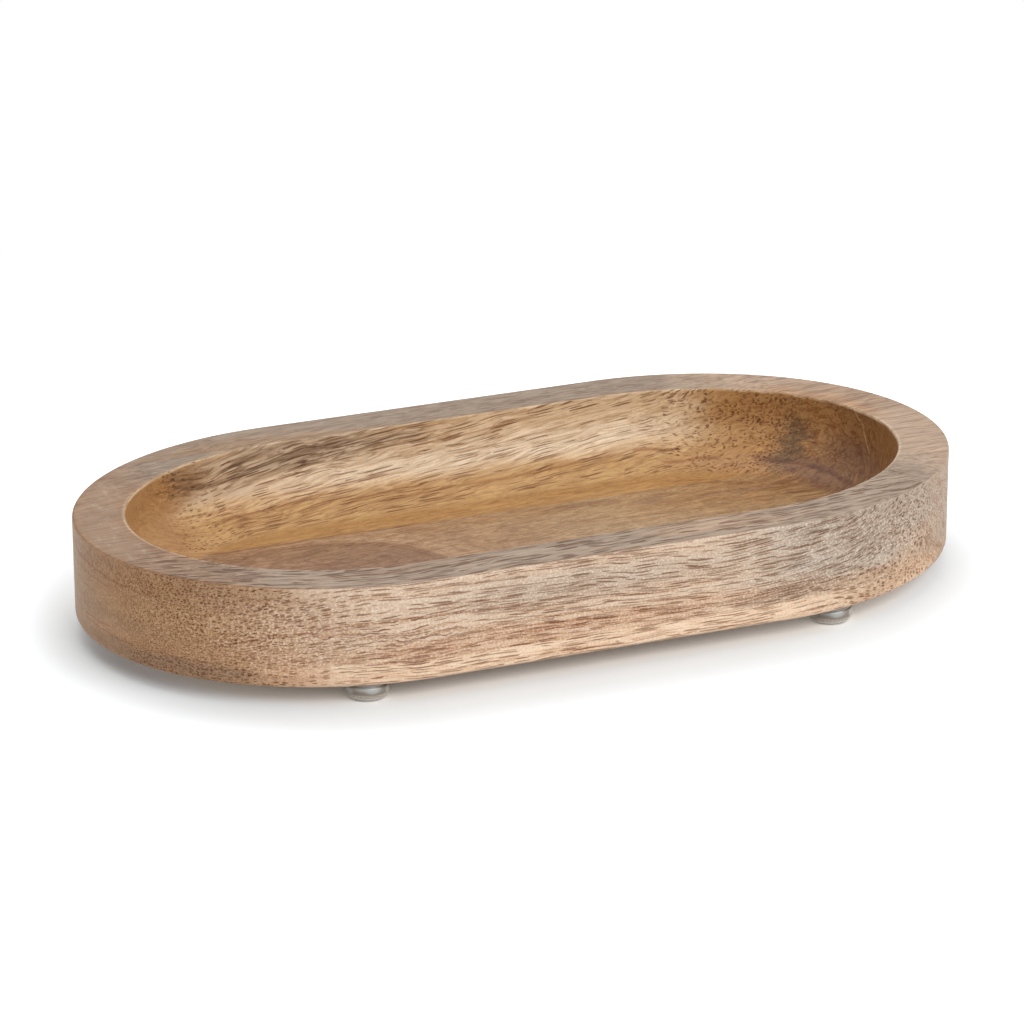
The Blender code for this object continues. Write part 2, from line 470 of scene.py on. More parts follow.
# %% Coordinates that follow the fibres
GRAIN_SPAN = (-130, 130)
FRONT_LIFT = (-9, -7, -3.4, -0.4, 0, -0.4, -1.1, -2.1, -2.7, -1.8, 0.2, 2.5, 4, 5)
FRONT_SLANT = (17, 11.3, 5.6, 1.2, 0, 0, 0.4, 1, 1.8, 2.6, 3.6, 5.2, 7.2, 9)
BACK_SLANT = (-22, -18.4, -14.6, -11, -7.4, -4.2, -1.6, 0, 1.2, 2, 2.4, 3.2, 4.4, 6)
BACK_LIFT = (-3, -6, -9.3, -7.7, -5.5, -3.3, -1.1, 1.1, 3.3, 5.5, 8.4, 13, 18.5, 22)
END_SINKS = 17
WAVE_HEIGHT, RIPPLE_HEIGHT = 7, 2

front_share = rise(y, 10, -30)
front_lift = curve(x, GRAIN_SPAN, FRONT_LIFT)
front_slant = curve(x, GRAIN_SPAN, FRONT_SLANT)
back_slant = curve(x, GRAIN_SPAN, BACK_SLANT)
from_back = bench.math("SIGN", x) * half_way / MM - around
back_lift = curve(from_back, GRAIN_SPAN, BACK_LIFT)
sinking = rise(around, 94, 134) * END_SINKS
lift = front_share * (front_lift * rise(z, 8, 18, 0.15, 1.0) - sinking) + (1 - front_share) * back_lift
slant = front_share * front_slant + (1 - front_share) * back_slant
wave = wander(place, (60, 22, 18))
ripple = wander(place, (15, 6, 4), 1, (7, 3, 1))
fibre = vector(x, y - slant + wave[0].sway(WAVE_HEIGHT) + ripple[0].sway(RIPPLE_HEIGHT),
               z - lift + wave[1].sway(WAVE_HEIGHT) + ripple[1].sway(RIPPLE_HEIGHT))
print("the grain is bent from", GRAIN_SPAN[0], "to", GRAIN_SPAN[1], "mm")

# %% Which face is which
RIM_FROM, HOLLOW_FROM, FLOOR_FROM, UNDERSIDE_FROM = (31.72, 31.95), (8, 9), (10.9, 10.42), (4.65, 4.42)

on_rim = rise(z, *RIM_FROM)
in_hollow = rise(inward, *HOLLOW_FROM) * (1 - on_rim)
on_floor = rise(z, *FLOOR_FROM) * rise(inward, *HOLLOW_FROM)
underneath = rise(z, *UNDERSIDE_FROM)
flat = highest(on_floor, on_rim, underneath)
ragged = wander(place, (18, 18, 3), 3)
curl = wander(place, (3.4, 1.8, 1.8), 1, (1, 6, 3))
patchy = wander(place, (24, 6, 6), 3, (3, 8, 2))
print("the rim begins at height", RIM_FROM[0], "and the floor at", FLOOR_FROM[0])

# %% How long each pore's cell is: short round the ends, where the grain is cut across
CELL_LENGTHS = np.array((1, 0.9, 0.85, 0.9, 1.15, 1.5, 2.1, 3.6, 7) + (9,) * 9
                        + (8, 4.4, 2, 1.6, 1.3, 1, 0.9, 0.9, 1))
CELL_SPAN = (-160, 160)
BACK_CELLS = 300

step = (CELL_SPAN[1] - CELL_SPAN[0]) / (len(CELL_LENGTHS) - 1)
counts = np.cumsum(step / CELL_LENGTHS).tolist()
behind = bench.math("GREATER_THAN", size_of(around), half_way / MM / 2)
turned = bench.math("ADD", around * (1 - behind), from_back * behind)
along_wall = curve(turned, CELL_SPAN, counts) + behind * BACK_CELLS
print(round(counts[-1]), "cells along the front")

# %% Three ragged maps, so that no stain has a smooth edge
WALL_RAGGED, HOLLOW_RAGGED, FLAT_RAGGED = (26, 5), (20, 5), (26, 7)

wall_spot = vector(around + ragged[0].sway(WALL_RAGGED[0]), z + ragged[1].sway(WALL_RAGGED[1]))
hollow_spot = vector(from_back + ragged[0].sway(HOLLOW_RAGGED[0]), z + ragged[1].sway(HOLLOW_RAGGED[1]))
flat_spot = vector(x + patchy[0].sway(FLAT_RAGGED[0]), y + patchy[1].sway(FLAT_RAGGED[1]))
print("stains wander by up to", WALL_RAGGED[0] / 2, "mm along the wall")

# %% [markdown]
# ## Tones
#
# One block holds many tones, from sapwood cream to heartwood brown. They are mixed here as on a
# palette, and then laid on as patches: where, how far along and across, how softly, how strongly.
# A few darker fibres run on for centimetres. They are drawn one by one, as thin curved lines.

# %% The palette
PALETTE = {
    "cream": (224, 200, 176), "peach": (247, 220, 191), "grey_cream": (191, 178, 164),
    "blue_grey": (178, 161, 145), "pink_tan": (181, 161, 140), "tan": (200, 168, 138),
    "apricot": (218, 176, 142), "brown_tan": (175, 144, 115), "warm_brown": (186, 148, 110),
    "soft_brown": (166, 130, 98), "olive_brown": (166, 134, 102), "purple_grey": (156, 125, 97),
    "ochre_brown": (188, 149, 103), "taupe": (171, 150, 130), "back_taupe": (164, 144, 125),
    "rim_edge": (160, 121, 88), "rim_orange": (196, 154, 116), "rim_brown": (164, 135, 109),
    "rim_pink": (194, 167, 143), "rim_gold": (176, 144, 108), "gold": (196, 157, 104),
    "pale_gold": (219, 187, 144), "butter_and_sheen": (239, 222, 196), "amber": (188, 144, 92),
    "grey_brown": (210, 191, 167), "hazel": (179, 137, 90), "chestnut": (145, 106, 68),
    "deep_brown": (133, 94, 60), "moss_brown": (138, 108, 71), "floor_taupe": (176, 142, 110),
    "floor_tan": (183, 154, 118), "floor_gold": (173, 135, 92), "lobe": (150, 116, 89),
    "floor_gilt": (184, 141, 88), "pale_line": (206, 176, 144), "fleck": (240, 226, 208),
    "painted_edge_highlight": (240, 220, 190),
}
TONES = {name: paint(*shades) for name, shades in PALETTE.items()}
print(len(TONES), "tones on the palette")


# %% Laying on patches
def gather(spot, patches):
    """The patches' masks, each times its share, joined by the highest."""
    total = 0.0
    for across, up, wide, high, softness, share in patches:
        (mask,) = bench.group(soft_patch, {"Place": spot, "Middle": (across, up, 0), "Reach": (wide, high, 1),
                                           "Softness": softness})
        total = highest(total, mask * share)
    return total


def grade(colour, steps):
    """Tones that take over one after another: the value, from where, to where, and the tone."""
    for value, start, end, tone in steps:
        colour = mix(rise(value, start, end), colour, tone)
    return colour


def lay_patches(colour, spot, patches):
    for *patch, tone in patches:
        colour = mix(gather(spot, [patch]), colour, tone)
    print(len(patches), "patches of", ", ".join(sorted({patch[-1] for patch in patches})))
    return colour


# %% Drawing thin lines
LINE_SHADE = (0.62, 0.44, 0.31, 1)
wavy_height = z + ripple[0].sway(1.2)


def drawn_line(across, up, span, heights, width):
    """A thin line along a drawn curve, faded at both ends."""
    start, end = span
    fade = (end - start) / 8
    off = size_of(up - curve(across, span, heights))
    ends = rise(across, start, start + fade) * rise(across, end, end - fade)
    return (1 - rise(off, width * 0.2, width)) * ends


def draw_lines(colour, along, lines, shade):
    """Thin darker lines along drawn curves: span, heights, half width, strength."""
    total, along = 0.0, along + ripple[1].sway(3)
    for span, heights, width, strength in lines:
        total = highest(total, drawn_line(along, wavy_height, span, heights, width) * strength)
    print(len(lines), "drawn lines")
    return darken(total, colour, shade)


# %% [markdown]
# ### The outside wall
#
# The front is pale sapwood, greyer to the right, with a peach edge at its foot and brown heartwood
# round the left end. Its map is the outline's: millimetres round from the middle of the front, and
# height. The underside isn't seen, and gets the same browns more plainly.

# %% Tones of the outside wall
WALL_PATCHES = [
    (-20, 13.2, 72, 2.6, 0.6, 0.55, "apricot"), (52, 12.4, 24, 2.2, 0.6, 0.6, "brown_tan"),
    (-5, 25, 40, 4, 0.7, 0.6, "grey_cream"), (-168, 18, 20, 18, 0.5, 0.9, "brown_tan"),
    (-146, 26, 20, 6, 0.5, 0.9, "soft_brown"), (-150, 16, 20, 3, 0.6, 0.8, "olive_brown"),
    (-126, 29, 26, 4, 0.6, 0.8, "soft_brown"), (-124, 22.5, 18, 3, 0.7, 0.3, "soft_brown"),
    (-128, 24, 24, 8, 0.7, 0.6, "ochre_brown"), (-125, 7.2, 31, 2.4, 0.4, 0.95, "purple_grey"),
    (-104, 27, 14, 4, 0.7, 0.5, "soft_brown"), (-88, 21, 15, 7, 0.7, 0.75, "tan"),
    (88, 25, 20, 8, 0.5, 0.9, "blue_grey"), (74, 27, 16, 5, 0.7, 0.8, "blue_grey"),
    (94, 18, 10, 3, 0.7, 0.7, "blue_grey"), (86, 9.5, 22, 4.5, 0.6, 0.85, "tan"),
    (100, 15, 10, 5, 0.7, 0.5, "tan"), (-88, 8, 10, 3, 0.7, 0.5, "apricot"),
    (118, 6, 14, 3, 0.7, 0.5, "tan"),
]

wall_across, wall_height, _ = split(wall_spot)
round_back = size_of(around)
wall = grade("cream", [(wall_across, 20, 62, "grey_cream"), (wall_height, 12, 9.4, "peach"),
                       (wall_across, -72, -104, "warm_brown"), (wall_across, 98, 116, "pink_tan"),
                       (round_back, 185, 225, "brown_tan")])
wall = lay_patches(wall, wall_spot, WALL_PATCHES)

# %% Lines in the outside wall, and the underside
WALL_LINES = [
    ((-116, -18), (12.6, 15.8, 18.4, 20.3, 21.8, 22.3, 22.1, 21.9, 21.6, 21.3), 0.6, 0.85),
    ((-196, -120), (30, 28.6, 27, 26, 25.4, 25), 0.6, 0.5),
    ((-200, -140), (26.5, 25, 24, 23.4, 23.6), 0.45, 0.4), ((-190, -140), (15, 13, 12, 11.8, 12.4), 0.5, 0.4),
    ((-200, -150), (21, 20, 19.6, 20), 0.5, 0.35), ((-165, -98), (10.6, 10.2, 9.8, 9.9, 10.1), 0.35, 0.35),
    ((-78, 34), (10.6, 10.5, 10.4, 10.2, 10.2, 10.1), 0.5, 0.6),
    ((-20, 34), (17.2, 16.8, 15.4, 13.4, 11.6), 0.4, 0.5), ((0, 34), (26.3, 25.2, 23.8, 22.6), 0.35, 0.5),
    ((-60, -20), (24.2, 24.4, 24.2, 24), 0.35, 0.4), ((-40, 20), (19.6, 20.2, 20, 19.2, 18), 0.35, 0.4),
    ((40, 84), (11.8, 12.6, 14.2, 13.4, 12.6), 0.5, 0.5), ((30, 74), (21.4, 20.8, 21.6, 22.6), 0.4, 0.4),
]
UNDER_PATCHES = [
    (-60, 10, 50, 22, 0.7, 0.6, "soft_brown"), (60, -20, 60, 16, 0.7, 0.6, "tan"),
    (20, 30, 70, 12, 0.7, 0.5, "tan"),
]

wall = draw_lines(wall, around, WALL_LINES, LINE_SHADE)
wall = mix(underneath, wall, lay_patches("brown_tan", flat_spot, UNDER_PATCHES))

# %% [markdown]
# ### The rim
#
# The rim is a flat face, seen almost from the side, and greyer than the walls. Its ends turn brown
# and pink in small squiggles. The sanded inner edge gets a painted highlight where it catches light, and the
# rim is darker outside at the left.

# %% Tones of the rim
RIM_PATCHES = [
    (34, -57, 20, 4.5, 0.6, 0.6, "tan"), (-56, 52.5, 34, 2.6, 0.6, 0.85, "rim_gold"),
    (-66, 57, 22, 4, 0.7, 0.4, "soft_brown"), (112, 26, 10, 14, 0.6, 0.6, "brown_tan"),
    (-60, -54, 20, 2.5, 0.7, 0.5, "rim_brown"), (84, 52, 12, 4, 0.7, 0.4, "rim_pink"),
]

rim = grade("taupe", [(y, -10, 10, "back_taupe"), (x, -86, -104, "rim_brown")])
rim = grade(rim, [(x + y * 0.35, 84, 104, "rim_pink")])
rim = lay_patches(rim, flat_spot, RIM_PATCHES)

# %% The rim's ends and edges
EDGE_WANDERS = 4

left_end = rise(x, -92, -106) * rise(y, -34, -20)
right_end = rise(x, 84, 100) * rise(y, -4, 12)
squiggle = noise(place, (2.6, 6.5, 4), 3, 0.6, shift=(5, 1, 3))
rim = mix(left_end * rise(squiggle, 0.52, 0.66) * 0.4, rim, "rim_pink")
rim = mix(left_end * rise(squiggle, 0.48, 0.36) * 0.5, rim, "rim_edge")
for (start, end), strength in (((9.5, 13.4), 0.7), ((4, 0.6), 0.5)):
    near_edge = rise(inward + patchy[0].sway(EDGE_WANDERS), start, end)
    rim = mix(left_end * near_edge * strength, rim, "rim_edge")
# A painted highlight along the sanded inner edge of the rim, stronger towards the front.
rim = mix(rise(inward, 13.0, 13.6) * rise(y, 30, 0, 0.15, 0.4), rim, "painted_edge_highlight")
rim = mix(rise(inward, 0.9, 0.5) * rise(x, -66, -88) * 0.6, rim, "chestnut")
rim = mix(right_end * rise(inward + patchy[0].sway(5), 6, 13) * 0.8, rim, "rim_orange")
print("rim done at", len(wood.node_tree.nodes), "nodes")

# %% [markdown]
# ### The hollow
#
# The router cut through the layers here, so the back wall goes from gold at its foot over a pale,
# greyish band to amber at both ends, and to dark heartwood with a knot at the right. The pale band's
# butter tone is partly the pale layer and partly a painted sheen. Its map counts millimetres along
# from the middle of the back wall, and height.

# %% Tones of the hollow
# The butter patches are partly the wood's pale layer and partly a painted sheen.
PALE_AND_SHEEN_PATCHES = [
    (14, 21.5, 72, 4, 0.6, 0.95, "butter_and_sheen"), (26, 27.5, 62, 5, 0.6, 0.6, "butter_and_sheen"),
    (-50, 28, 40, 4.6, 0.4, 0.85, "grey_brown"), (-74, 22, 16, 3.5, 0.6, 0.7, "grey_brown"),
    (-94, 27, 14, 6, 0.5, 0.9, "olive_brown"), (-94, 14, 22, 4, 0.6, 0.6, "gold"),
]
AMBER_PATCHES = [
    (92, 19.5, 14, 4.5, 0.7, 0.6, "gold"), (96, 12, 22, 2, 0.6, 0.5, "hazel"),
    (-117, 20, 20, 18, 0.5, 0.9, "hazel"), (106, 29, 12, 4, 0.7, 0.6, "hazel"),
]
KNOT_PATCHES = [
    (119, 18, 5.5, 7, 0.4, 0.85, "moss_brown"), (136, 26, 12, 5, 0.6, 0.6, "hazel"),
    (130, 13, 18, 2.4, 0.6, 0.8, "deep_brown"), (152, 20, 14, 4, 0.6, 0.6, "deep_brown"),
    (165, 27, 14, 5, 0.7, 0.5, "hazel"),
]

hollow_across, hollow_height, _ = split(hollow_spot)
hollow = grade("gold", [(hollow_height, 13.2, 17.5, "pale_gold")])
hollow = lay_patches(hollow, hollow_spot, PALE_AND_SHEEN_PATCHES)
hollow = grade(hollow, [(hollow_across, -92, -108, "amber"), (hollow_across, 76, 96, "amber")])
hollow = lay_patches(hollow, hollow_spot, AMBER_PATCHES)
hollow = grade(hollow, [(hollow_across, 108, 116, "hazel"), (hollow_across, 126, 140, "chestnut")])
hollow = lay_patches(hollow, hollow_spot, KNOT_PATCHES)

# %% Lines in the hollow
GREY_LINE_SHADE = (0.5, 0.45, 0.4, 1)
GREY_LINES = [
    ((-98, -28), (27, 25, 23.8, 23.6, 24.6, 26.2, 27.4, 28.4, 29.2), 1.3, 0.8),
    ((-104, -80), (30, 28.6, 27, 26), 0.6, 0.6), ((-108, -88), (27.5, 26, 24.5), 0.5, 0.5),
]
HOLLOW_LINES = [
    ((-100, -62), (18.6, 17.2, 16.8, 17.4), 0.5, 0.6), ((-80, -30), (14.2, 14.6, 15.4, 16.4), 0.5, 0.75),
    ((-62, -8), (17, 17.2, 18, 18.8), 0.4, 0.6), ((-30, 34), (12.4, 13.4, 13.8, 15), 0.5, 0.6),
    ((0, 40), (21, 22, 23.6, 24.8), 0.4, 0.6), ((-20, 34), (24.4, 25.8, 27.4, 28.6), 0.4, 0.6),
    ((56, 78), (15.2, 15.8, 15.2, 15.8), 0.5, 0.85), ((66, 94), (13.4, 12.6, 13.4, 13), 0.5, 0.8),
    ((18, 52), (13, 14.2, 14.8, 15.6), 0.45, 0.7), ((104, 162), (14.2, 13.6, 13.8, 13.2, 12.8), 0.7, 0.7),
]

hollow = draw_lines(hollow, from_back, GREY_LINES, GREY_LINE_SHADE)
hollow = draw_lines(hollow, from_back, HOLLOW_LINES, LINE_SHADE)
crease = drawn_line(wavy_height, from_back + ripple[0].sway(2), (20, 32), (156, 152.5, 150, 147.5, 144), 0.8)
hollow = mix(crease * 0.5, hollow, "pale_gold")

# %% The side that faces away, and the painted highlight on the inner edge
facing_away = rise(y, -4, -24)
hollow = mix(facing_away, hollow, mix(rise(x, 0, 60), "gold", "hazel"))
# A painted highlight along the hollow's sanded upper edge, broken by noise.
inner_edge_highlight = rise(inward, 12.7, 13.1) * rise(z, 31.0, 31.4)
hollow = mix(inner_edge_highlight * rise(ripple[1], 0.35, 0.6, 0.1, 0.6), hollow, "painted_edge_highlight")
print("hollow done at", len(wood.node_tree.nodes), "nodes")

# %% [markdown]
# ### The floor
#
# The floor lies along the grain, so it shows few pores but the figure of the rings: a brown lobe at
# the left with a dark and a pale line round it, fainter rings farther off, and fine squiggles. A gold
# strip runs along the back, under a thin dark line.

# %% Tones of the floor
FLOOR_PATCHES = [
    (74, 15, 34, 13, 0.6, 0.85, "floor_gold"), (16, 24, 30, 3, 0.7, 0.6, "floor_gold"),
    (31, 24, 7, 2.4, 0.6, 0.8, "lobe"), (50, 20, 7, 2.4, 0.7, 0.6, "lobe"),
    (78, 18, 10, 1.6, 0.7, 0.7, "lobe"), (62, 28, 16, 1.4, 0.6, 0.6, "moss_brown"),
    (-74, 22, 12, 6, 0.7, 0.6, "lobe"),
]

floor_x, _, _ = split(flat_spot)
floor = grade("floor_taupe", [(floor_x, -30, 40, "floor_tan")])
floor = lay_patches(floor, flat_spot, FLOOR_PATCHES)
edge_line = drawn_line(floor_x, y + ripple[0].sway(1.5), (-84, -8), (28.9, 28.7, 28.9, 28.6, 28.8), 0.7)

# %% The lobe, and how far each place is from it
LOBE_MIDDLE, LOBE_REACH = (-60, 2, 0), (39, 24, 1)
RING_PACE, RINGS_WANDER = 46, 9

lobe_spot = vector(x + patchy[0].sway(6), y + patchy[1].sway(3))
lobe_far = bench.vector_math("LENGTH", bench.vector_math(
    "DIVIDE", bench.vector_math("SUBTRACT", lobe_spot, LOBE_MIDDLE), LOBE_REACH), out=1)
waves = bench.math("SINE", lobe_far * RING_PACE + wave[0] * RINGS_WANDER)
rings = rise(waves, 0.2, 0.95) * rise(lobe_far, 1.9, 1.1)
curled = vector(x + curl[0].sway(9), y + curl[1].sway(7))
squiggles = noise(curled, (11, 2.1, 1), 2, 0.6)
print("the lobe is", 2 * LOBE_REACH[0], "by", 2 * LOBE_REACH[1], "mm")

# %% The figure of the floor
SQUIGGLE_SHADE, SQUIGGLE_LIGHT = (0.66, 0.55, 0.44, 1), (1.2, 1.18, 1.14, 1)
RING_SHADE, EDGE_SHADE = (0.6, 0.48, 0.36, 1), (0.5, 0.4, 0.3, 1)

floor = mix(rise(lobe_far, 1.01, 0.95) * 0.9, floor, "lobe")
inside_lobe = rise(x, -46, -62) * rise(squiggles, 0.42, 0.55)
floor = mix(inside_lobe * 0.5, floor, "floor_taupe")
dark_round = rise(lobe_far, 0.9, 0.96) * rise(lobe_far, 1.01, 0.97)
floor = mix(dark_round * 0.35, floor, "deep_brown")
pale_round = rise(lobe_far, 0.95, 1.05) * rise(lobe_far, 1.3, 1.1) * rise(x, -60, -34)
floor = mix(pale_round * 0.35, floor, "pale_line")
floor = darken((1 - rise(size_of(squiggles - 0.5), 0.01, 0.06)) * 0.6, floor, SQUIGGLE_SHADE)
floor = darken(rise(squiggles, 0.56, 0.7) * 0.5, floor, SQUIGGLE_LIGHT)
floor = darken(rings * 0.3, floor, RING_SHADE)
floor = mix(rise(y + patchy[1].sway(1.5) + x * 0.012, 28, 29.2), floor, "floor_gilt")
floor = darken(edge_line * 0.6, floor, EDGE_SHADE)
hollow = mix(on_floor, hollow, floor)
print("floor done at", len(wood.node_tree.nodes), "nodes")

# %% [markdown]
# ## Streaks over the tones
#
# Over the tones lie the fibres. How strongly they show differs from place to place, so first come
# maps of the busy places. Most streaks darken what is under them with one brown, olive or grey shade,
# and some fine fibres are made lighter with a painted sheen. On the front, the sander left a fuzz of pale
# flecks.

# %% Shades, and the busy places
BROWN_SHADE, OLIVE_SHADE, GREY_SHADE = (0.68, 0.48, 0.32, 1), (0.64, 0.5, 0.35, 1), (0.56, 0.5, 0.46, 1)
# The first lighter colour gives fine fibres a painted sheen, and the woven flecks their paler tone.
SHEEN_AND_FLECK_LIGHTER, LIT_SLIGHTLY = (1.28, 1.24, 1.2, 1), (1.06, 1.06, 1.06, 1)
BUSY_WALL = [
    (-15, 14, 80, 4, 0.6, 0.9), (10, 25, 90, 6, 0.7, 0.2), (-60, 18, 20, 3, 0.7, 0.8),
    (-10, 7, 60, 2, 0.6, 0.6), (118, 18, 18, 14, 0.5, 0.9), (-146, 28, 20, 4, 0.6, 0.7),
]
BUSY_HOLLOW = [
    (-48, 27, 42, 5, 0.6, 1.5), (20, 22, 60, 12, 0.6, 0.4), (-45, 14, 40, 3, 0.6, 0.8),
    (140, 20, 32, 16, 0.5, 1.2),
]
GREYED = [(-50, 28.5, 36, 5.5, 0.5, 0.9), (118, 19, 8, 8, 0.5, 0.8)]

base = mix(on_rim, mix(in_hollow, wall, hollow), rim)
band, streak, thin, fine, reeds = bench.group(grain_streaks, {"Place": fibre})
busy_wall = gather(wall_spot, BUSY_WALL)
busy_hollow = gather(hollow_spot, BUSY_HOLLOW)
busy_rim = on_rim * rise(size_of(x), 80, 104, 0.4, 0.6) * (1 - left_end * 0.7)
busy = highest(busy_rim, busy_wall * (1 - in_hollow))
busy = highest(busy, busy_hollow * in_hollow)
greyed = gather(hollow_spot, GREYED) * in_hollow
shade = mix(highest(on_rim, greyed), mix(in_hollow, BROWN_SHADE, OLIVE_SHADE), GREY_SHADE)
print(len(BUSY_WALL) + len(BUSY_HOLLOW), "busy places")

# %% Bands, streaks and creases
mottle = noise(place, (5, 2.4, 1.8), shift=(2, 2, 7))
base = darken(band * 0.15, base, shade)
base = darken(rise(mottle, 0.35, 0.7) * 0.14, base, shade)
base = darken(streak * (busy * 0.42 + 0.16), base, shade)
base = darken(thin * (busy * 0.6 + 0.15), base, shade)
print("streaks done at", len(wood.node_tree.nodes), "nodes")

# %% Fine fibres, dark, and lighter with a painted sheen
REEDY = [
    (-62, 27, 50, 6, 0.4, 0.75), (20, 25, 66, 9, 0.5, 0.55), (-30, 15, 70, 5, 0.5, 0.5),
    (90, 18, 30, 12, 0.6, 0.3), (142, 21, 30, 14, 0.6, 0.4),
]

fine_share = rise(in_hollow, 0, 1, 0.14, 0.4) * (1 - flat) + flat * rise(y, 20, 50, 0.5, 0.3)
reedy = gather(hollow_spot, REEDY) * in_hollow * (1 - on_floor)
base = darken(highest(reedy, on_floor * 0.4), base, mix(reeds, LIT_SLIGHTLY, shade))
base = darken(rise(fine, 0.5, 0.68) * fine_share, base, shade)
# Lighter fine fibres: a painted sheen.
base = darken(rise(fine, 0.5, 0.34) * fine_share, base, SHEEN_AND_FLECK_LIGHTER)

# %% Flecks
SPECKLED = [(0, 20, 110, 20, 0.3, 0.8)]
WOVEN = [(-128, 16, 44, 18, 0.3, 0.8), (112, 16, 30, 18, 0.4, 0.6)]
WOVEN_EVERYWHERE = 0.16

fleck = noise(place, (0.7, 0.5, 0.5), 2, 0.7)
speckled = gather(wall_spot, SPECKLED) * (1 - in_hollow) * (1 - on_rim)
woven = highest(gather(wall_spot, WOVEN) * (1 - in_hollow) * (1 - on_rim), WOVEN_EVERYWHERE)
base = mix(rise(fleck, 0.48, 0.66) * speckled * 0.7, base, "fleck")
base = darken(rise(fleck, 0.46, 0.64) * woven, base, SHEEN_AND_FLECK_LIGHTER)
base = darken(rise(fleck, 0.5, 0.32) * highest(speckled * 0.35, woven * 0.8), base, shade)
print("flecks done at", len(wood.node_tree.nodes), "nodes")

# %% [markdown]
# ## Pores over the streaks
#
# A pore's cell is counted along the grain and measured across it. On the walls its length comes from
# the outline's map, and on the flat faces it is the same everywhere. Some places are clear of pores,
# others are crowded, and on the long sides a second, longer kind lies between the first.

# %% Along and across the grain
FLAT_CELLS, RIM_CELLS = 5, 9
CURLY_HOLLOW, CURLY_WALL = [(90, 19, 24, 14, 0.5, 1.0)], [(-56, 18, 22, 3, 0.6, 0.8)]

along_flat = x * on_rim / RIM_CELLS + x * (1 - on_rim) / FLAT_CELLS
along = along_wall * (1 - in_hollow * 0.28) * (1 - flat) + along_flat * flat
across_wall = (z - lift - 16) * rise(around, 66, 92, 1, 0.68)
across_hollow = (z - inward - back_lift) * rise(from_back, 68, 90, 0.8, 0.6)
across = across_wall * (1 - in_hollow) + across_hollow * in_hollow
across = across * (1 - flat) + (y - slant - HALF_WIDTH / MM) * 0.5 * flat
across = across + wave[1].sway(5) + ripple[1].sway(1.3)
curly = highest(gather(hollow_spot, CURLY_HOLLOW) * in_hollow,
                gather(wall_spot, CURLY_WALL) * (1 - in_hollow))
across = across + curl[0].sway(curly * 2.4 + 0.3)
along = along + curl[1].sway(curly * 1.6 + 0.3)

# %% Where pores are few
CLEAR_WALL = [(-172, 18, 34, 40, 0.3, 1.0), (140, 18, 34, 40, 0.3, 1.0)]
CLEAR_HOLLOW = [(-128, 22, 30, 14, 0.3, 1.0), (150, 22, 30, 16, 0.4, 1.0)]

clear = gather(wall_spot, CLEAR_WALL) * (1 - in_hollow)
smooth_hollow = gather(hollow_spot, CLEAR_HOLLOW) * in_hollow
clear = highest(clear, smooth_hollow, on_rim * rise(y, -20, 20, 0.05, 0.6))
clear = highest(clear, on_floor * 0.7)
crowd = noise(place, (20, 6, 6), shift=(8, 1, 4))
missing = rise(crowd, 0.62, 0.4, 0.12, 0.52) * rise(size_of(turned), 128, 96, 0.4, 1)
missing = missing + in_hollow * rise(from_back, 66, 84, 0.3, 0.05)

# %% Two kinds of pores
PORE_SHADE = (0.33, 0.22, 0.155, 1)
PORE_WIDTH, LONG_PORE_WIDTH, LONGER = 0.46, 0.36, 0.42
OTHER_CELLS, OTHER_ROWS = 50, 0.3

pore, halo = bench.group(pores, {"Along": along, "Across": across, "Width": PORE_WIDTH, "Missing": missing})
vessel, _ = bench.group(pores, {"Along": along * LONGER + OTHER_CELLS, "Across": across + OTHER_ROWS,
                                "Width": LONG_PORE_WIDTH, "Missing": missing + 0.1})
straight = highest(rise(size_of(turned), 92, 66), flat)
pore = highest(pore, vessel * straight * 0.85) * (1 - clear)
base = darken(halo * 0.1 * (1 - clear), base, shade)
base = darken(pore * 0.95, base, PORE_SHADE)
print("pores up to", PORE_WIDTH, "mm wide")

# %% Gloss and relief
ROUGH_OUTSIDE, ROUGH_INSIDE, ROUGH_PORE = 0.56, 0.42, 0.2
RELIEF, RELIEF_DEPTH, SHINE = 0.35, 0.2 * MM, 0.4

roughness = rise(in_hollow, 0, 1, ROUGH_OUTSIDE, ROUGH_INSIDE) + pore * ROUGH_PORE
bump = bench.node("ShaderNodeBump", {"Strength": RELIEF, "Distance": RELIEF_DEPTH,
                                     "Height": fleck * 0.15 - thin * 0.2})
skin = wood.node_tree.nodes["Principled BSDF"]
for socket, value in (("Base Color", base), ("Roughness", roughness), ("Normal", bump)):
    bench.tree.links.new(value.socket, skin.inputs[socket])
skin.inputs["Specular IOR Level"].default_value = SHINE
mesh.materials.append(wood)
print(len(wood.node_tree.nodes), "nodes in the wood")


# %% [markdown]
# ## Clear feet
#
# A bumper foot is a squat disc of clear elastomer. It is turned: half its section is drawn from the
# middle outwards and spun once round. A thin disc of clear tape holds it to the wood, turned the same
# way. Each piece also keeps its own middle as a flat map, so that its finish knows where its front is.

# %% Turn one piece
FOOT_RADIUS, FOOT_ROUND, FOOT_LIP = 6.1 * MM, 2.5 * MM, 0.9 * MM
TAPE_RADIUS, TAPE_LIP = 5.6 * MM, 0.1 * MM
FOOT_STEPS, ROUND_STEPS = 72, 10


